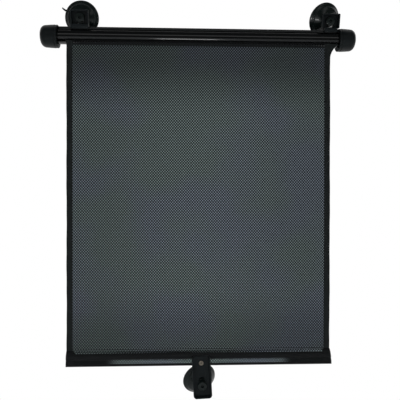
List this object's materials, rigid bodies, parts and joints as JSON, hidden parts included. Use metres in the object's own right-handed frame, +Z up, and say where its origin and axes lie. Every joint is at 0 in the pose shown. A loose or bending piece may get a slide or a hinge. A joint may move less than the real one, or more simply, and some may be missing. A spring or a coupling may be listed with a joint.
{
  "type": "car side window sunshade",
  "caption": "Roll-up mesh sunshade: a spring roller in a slotted case tube, two sliding brackets with suction cups, and a bottom bar with a pull tab and suction cup.",
  "frame": {"origin": "on the axis of the case tube, at the middle of its length", "axes": "+X along the case to the right as seen from inside the car, +Y towards the window glass, +Z up"},
  "size_m": [0.4816, 0.0499, 0.6167],
  "materials": {
    "case_plastic": "glossy black extruded PVC with drawn lines",
    "cap_plastic": "satin charcoal moulded plastic",
    "bracket_plastic": "satin blue-grey black moulded plastic",
    "cup_vinyl": "glossy soft black vinyl",
    "mesh_fabric": "black vinyl-coated open mesh",
    "tape_fabric": "black binding tape, welded and stitched",
    "bar_plastic": "black extruded plastic",
    "inner_plastic": "natural nylon",
    "spring_steel": "drawn spring wire",
    "roller_metal": "mill finish tube",
    "rivet_metal": "nickel-plated brass, slightly dull"
  },
  "bodies": {
    "root": {"cassette_tube": "case_plastic", "end_cap_left": "cap_plastic", "end_cap_right": "cap_plastic", "spring_spindle": "spring_steel", "spring_anchor": "inner_plastic", "torsion_spring": "spring_steel", "shade_panel": "mesh_fabric", "edge_tape_left": "tape_fabric", "edge_tape_right": "tape_fabric"},
    "roller": {"roller_tube": "roller_metal", "roller_plug_left": "inner_plastic", "roller_plug_right": "inner_plastic", "roller_bush": "inner_plastic", "fabric_clamp_strip": "bar_plastic", "fabric_wrap": "mesh_fabric"},
    "bracket_left": {"top_bracket_left": "bracket_plastic", "suction_cup_left": "cup_vinyl"},
    "bracket_right": {"top_bracket_right": "bracket_plastic", "suction_cup_right": "cup_vinyl"},
    "bar": {"hem_pocket": "mesh_fabric", "bottom_bar": "bar_plastic", "rivet": "rivet_metal", "rivet_washer": "rivet_metal"},
    "tab": {"pull_tab": "bracket_plastic", "suction_cup_bottom": "cup_vinyl"}
  },
  "joints": [
    {"name": "bar_travel", "type": "slide", "parent": "root", "child": "bar", "axis": [0, 0, 1], "range_m": [0, 0.455], "deforming": ["shade_panel", "edge_tape_left", "edge_tape_right"]},
    {"name": "roller_spin", "type": "hinge", "parent": "root", "child": "roller", "pos_m": [0, 0, 0], "axis": [-1, 0, 0], "range_deg": [0, 3710]},
    {"name": "bracket_left_slide", "type": "slide", "parent": "root", "child": "bracket_left", "axis": [1, 0, 0], "range_m": [-0.016, 0.15]},
    {"name": "bracket_right_slide", "type": "slide", "parent": "root", "child": "bracket_right", "axis": [1, 0, 0], "range_m": [-0.15, 0.001]},
    {"name": "tab_swing", "type": "hinge", "parent": "bar", "child": "tab", "pos_m": [0.0026, -0.0083, -0.4947], "axis": [0, 1, 0], "range_deg": [-25, 25]}
  ],
  "couplings": [
    {"joint": "roller_spin", "follows": "bar_travel", "rad_per_m": 142}
  ]
}
